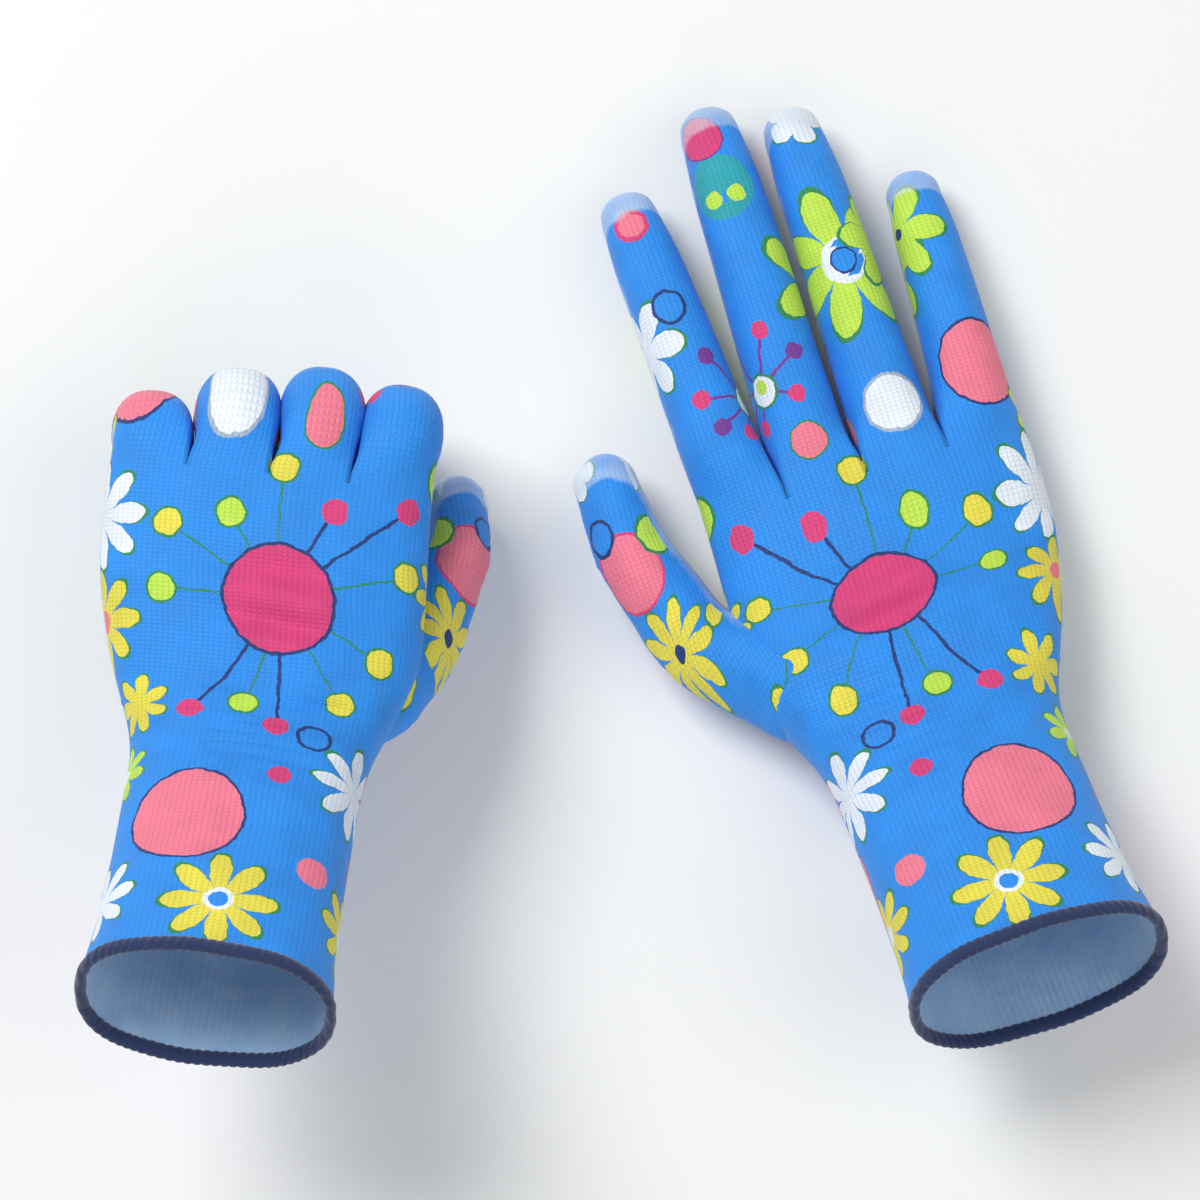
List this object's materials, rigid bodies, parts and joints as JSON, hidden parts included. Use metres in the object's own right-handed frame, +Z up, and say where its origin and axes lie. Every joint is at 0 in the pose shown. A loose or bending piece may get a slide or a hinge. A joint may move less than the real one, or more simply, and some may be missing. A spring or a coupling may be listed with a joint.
{
  "type": "gardening gloves",
  "caption": "Pair of floral knit gardening gloves, one open and one closed, with film-dipped palms and fingertips, hemmed cuffs and hinged fingers.",
  "frame": {"origin": "middle of the pair, on the surface the gloves lie on", "axes": "+Z up out of the backs of the hands, +Y towards the fingertips, +X from the closed left glove to the open right glove"},
  "size_m": [0.2678, 0.2624, 0.1128],
  "materials": {
    "knit": "fine knitted polyester, printed with flowers",
    "film": "thin milky dipped film, satin",
    "hem": "overlocked yarn"
  },
  "bodies": {
    "right_hand": {"right_palm_knit": "knit", "right_palm_film": "film"},
    "right_cuff": {"right_cuff_knit": "knit", "right_cuff_hem": "hem"},
    "right_index_lower": {"right_index_lower_knit": "knit"},
    "right_index_middle": {"right_index_middle_knit": "knit", "right_index_middle_film": "film"},
    "right_index_tip": {"right_index_tip_knit": "knit", "right_index_tip_film": "film"},
    "right_middle_lower": {"right_middle_lower_knit": "knit"},
    "right_middle_middle": {"right_middle_middle_knit": "knit", "right_middle_middle_film": "film"},
    "right_middle_tip": {"right_middle_tip_knit": "knit", "right_middle_tip_film": "film"},
    "right_ring_lower": {"right_ring_lower_knit": "knit"},
    "right_ring_middle": {"right_ring_middle_knit": "knit", "right_ring_middle_film": "film"},
    "right_ring_tip": {"right_ring_tip_knit": "knit", "right_ring_tip_film": "film"},
    "right_little_lower": {"right_little_lower_knit": "knit"},
    "right_little_middle": {"right_little_middle_knit": "knit", "right_little_middle_film": "film"},
    "right_little_tip": {"right_little_tip_knit": "knit", "right_little_tip_film": "film"},
    "right_thumb_lower": {"right_thumb_lower_knit": "knit", "right_thumb_lower_film": "film"},
    "right_thumb_tip": {"right_thumb_tip_knit": "knit", "right_thumb_tip_film": "film"},
    "left_hand": {"left_palm_knit": "knit", "left_palm_film": "film"},
    "left_cuff": {"left_cuff_knit": "knit", "left_cuff_hem": "hem"},
    "left_index_lower": {"left_index_lower_knit": "knit"},
    "left_index_middle": {"left_index_middle_knit": "knit", "left_index_middle_film": "film"},
    "left_index_tip": {"left_index_tip_knit": "knit", "left_index_tip_film": "film"},
    "left_middle_lower": {"left_middle_lower_knit": "knit"},
    "left_middle_middle": {"left_middle_middle_knit": "knit", "left_middle_middle_film": "film"},
    "left_middle_tip": {"left_middle_tip_knit": "knit", "left_middle_tip_film": "film"},
    "left_ring_lower": {"left_ring_lower_knit": "knit"},
    "left_ring_middle": {"left_ring_middle_knit": "knit", "left_ring_middle_film": "film"},
    "left_ring_tip": {"left_ring_tip_knit": "knit", "left_ring_tip_film": "film"},
    "left_little_lower": {"left_little_lower_knit": "knit"},
    "left_little_middle": {"left_little_middle_knit": "knit", "left_little_middle_film": "film"},
    "left_little_tip": {"left_little_tip_knit": "knit", "left_little_tip_film": "film"},
    "left_thumb_lower": {"left_thumb_lower_knit": "knit", "left_thumb_lower_film": "film"},
    "left_thumb_tip": {"left_thumb_tip_knit": "knit", "left_thumb_tip_film": "film"}
  },
  "joints": [
    {"name": "right_wrist_bend", "type": "hinge", "parent": "right_hand", "child": "right_cuff", "pos_m": [0.08079, -0.04047, 0.0198], "axis": [-0.9511, -0.309, 0], "range_deg": [-18, 18]},
    {"name": "right_index_knuckle", "type": "hinge", "parent": "right_hand", "child": "right_index_lower", "pos_m": [0.02587, 0.03211, 0.0138], "axis": [-0.9385, -0.3453, 0], "range_deg": [-1, 75]},
    {"name": "right_index_middle_joint", "type": "hinge", "parent": "right_index_lower", "child": "right_index_middle", "pos_m": [0.0131, 0.06683, 0.01315], "axis": [-0.9385, -0.3453, 0], "range_deg": [-5, 85]},
    {"name": "right_index_end_joint", "type": "hinge", "parent": "right_index_middle", "child": "right_index_tip", "pos_m": [0.0052, 0.0883, 0.01075], "axis": [-0.9385, -0.3453, 0], "range_deg": [-5, 50]},
    {"name": "right_middle_knuckle", "type": "hinge", "parent": "right_hand", "child": "right_middle_lower", "pos_m": [0.0457, 0.04066, 0.0138], "axis": [-0.9613, -0.2756, 0], "range_deg": [0, 75]},
    {"name": "right_middle_middle_joint", "type": "hinge", "parent": "right_middle_lower", "child": "right_middle_middle", "pos_m": [0.03371, 0.08247, 0.0138], "axis": [-0.9613, -0.2756, 0], "range_deg": [-5, 85]},
    {"name": "right_middle_end_joint", "type": "hinge", "parent": "right_middle_middle", "child": "right_middle_tip", "pos_m": [0.02616, 0.10881, 0.0114], "axis": [-0.9613, -0.2756, 0], "range_deg": [-4, 50]},
    {"name": "right_ring_knuckle", "type": "hinge", "parent": "right_hand", "child": "right_ring_lower", "pos_m": [0.06791, 0.04577, 0.0138], "axis": [-0.9553, -0.2957, 0], "range_deg": [0, 75]},
    {"name": "right_ring_middle_joint", "type": "hinge", "parent": "right_ring_lower", "child": "right_ring_middle", "pos_m": [0.05579, 0.08494, 0.0138], "axis": [-0.9553, -0.2957, 0], "range_deg": [-5, 85]},
    {"name": "right_ring_end_joint", "type": "hinge", "parent": "right_ring_middle", "child": "right_ring_tip", "pos_m": [0.04813, 0.10968, 0.01153], "axis": [-0.9553, -0.2957, 0], "range_deg": [-5, 50]},
    {"name": "right_little_knuckle", "type": "hinge", "parent": "right_hand", "child": "right_little_lower", "pos_m": [0.09138, 0.04603, 0.0138], "axis": [-0.9686, -0.2487, 0], "range_deg": [-2, 75]},
    {"name": "right_little_middle_joint", "type": "hinge", "parent": "right_little_lower", "child": "right_little_middle", "pos_m": [0.08342, 0.07701, 0.01268], "axis": [-0.9686, -0.2487, 0], "range_deg": [-6, 85]},
    {"name": "right_little_end_joint", "type": "hinge", "parent": "right_little_middle", "child": "right_little_tip", "pos_m": [0.07862, 0.09571, 0.00997], "axis": [-0.9686, -0.2487, 0], "range_deg": [-5, 50]},
    {"name": "right_thumb_knuckle", "type": "hinge", "parent": "right_hand", "child": "right_thumb_lower", "pos_m": [0.019, -0.01533, 0.0128], "axis": [-0.6239, -0.3745, -0.686], "range_deg": [0, 12]},
    {"name": "right_thumb_joint", "type": "hinge", "parent": "right_thumb_lower", "child": "right_thumb_tip", "pos_m": [0.00138, 0.00943, 0.0153], "axis": [-0.6239, -0.3745, -0.686], "range_deg": [-20, 12]},
    {"name": "left_wrist_bend", "type": "hinge", "parent": "left_hand", "child": "left_cuff", "pos_m": [-0.09484, -0.05194, 0.0555], "axis": [-0.9936, 0.1132, 0], "range_deg": [-18, 18]},
    {"name": "left_index_knuckle", "type": "hinge", "parent": "left_hand", "child": "left_index_lower", "pos_m": [-0.05725, 0.03053, 0.054], "axis": [-0.9797, 0.1425, 0.141], "range_deg": [-84, 0]},
    {"name": "left_index_middle_joint", "type": "hinge", "parent": "left_index_lower", "child": "left_index_middle", "pos_m": [-0.06151, 0.03702, 0.01783], "axis": [-0.9797, 0.1425, 0.141], "range_deg": [-96, 0]},
    {"name": "left_index_end_joint", "type": "hinge", "parent": "left_index_middle", "child": "left_index_tip", "pos_m": [-0.06499, 0.01431, 0.01663], "axis": [-0.9797, 0.1425, 0.141], "range_deg": [-54, 0]},
    {"name": "left_middle_knuckle", "type": "hinge", "parent": "left_hand", "child": "left_middle_lower", "pos_m": [-0.07711, 0.0348, 0.05411], "axis": [-0.988, 0.0705, 0.1372], "range_deg": [-86, 0]},
    {"name": "left_middle_middle_joint", "type": "hinge", "parent": "left_middle_lower", "child": "left_middle_middle", "pos_m": [-0.08263, 0.04053, 0.01134], "axis": [-0.988, 0.0705, 0.1372], "range_deg": [-98, 0]},
    {"name": "left_middle_end_joint", "type": "hinge", "parent": "left_middle_middle", "child": "left_middle_tip", "pos_m": [-0.08453, 0.0131, 0.01181], "axis": [-0.988, 0.0705, 0.1372], "range_deg": [-54, 0]},
    {"name": "left_ring_knuckle", "type": "hinge", "parent": "left_hand", "child": "left_ring_lower", "pos_m": [-0.09853, 0.03523, 0.054], "axis": [-0.9862, 0.0911, 0.1383], "range_deg": [-86, 0]},
    {"name": "left_ring_middle_joint", "type": "hinge", "parent": "left_ring_lower", "child": "left_ring_middle", "pos_m": [-0.10367, 0.04075, 0.0137], "axis": [-0.9862, 0.0911, 0.1383], "range_deg": [-98, 0]},
    {"name": "left_ring_end_joint", "type": "hinge", "parent": "left_ring_middle", "child": "left_ring_tip", "pos_m": [-0.10601, 0.01486, 0.01414], "axis": [-0.9862, 0.0911, 0.1383], "range_deg": [-54, 0]},
    {"name": "left_little_knuckle", "type": "hinge", "parent": "left_hand", "child": "left_little_lower", "pos_m": [-0.12025, 0.03067, 0.05364], "axis": [-0.9898, 0.0429, 0.1357], "range_deg": [-84, 0]},
    {"name": "left_little_middle_joint", "type": "hinge", "parent": "left_little_lower", "child": "left_little_middle", "pos_m": [-0.12431, 0.03587, 0.02233], "axis": [-0.9898, 0.0429, 0.1357], "range_deg": [-96, 0]},
    {"name": "left_little_end_joint", "type": "hinge", "parent": "left_little_middle", "child": "left_little_tip", "pos_m": [-0.1253, 0.01642, 0.02131], "axis": [-0.9898, 0.0429, 0.1357], "range_deg": [-54, 0]},
    {"name": "left_thumb_knuckle", "type": "hinge", "parent": "left_hand", "child": "left_thumb_lower", "pos_m": [-0.05366, -0.02146, 0.0383], "axis": [-0.4926, 0.4843, 0.723], "range_deg": [0, 4]},
    {"name": "left_thumb_joint", "type": "hinge", "parent": "left_thumb_lower", "child": "left_thumb_tip", "pos_m": [-0.04464, 0.00639, 0.02579], "axis": [-0.4926, 0.4843, 0.723], "range_deg": [-14, 0]},
    {"name": "left_glove_lift", "type": "slide", "parent": "right_hand", "child": "left_hand", "axis": [0, 0, 1], "range_m": [0, 0.15]}
  ]
}
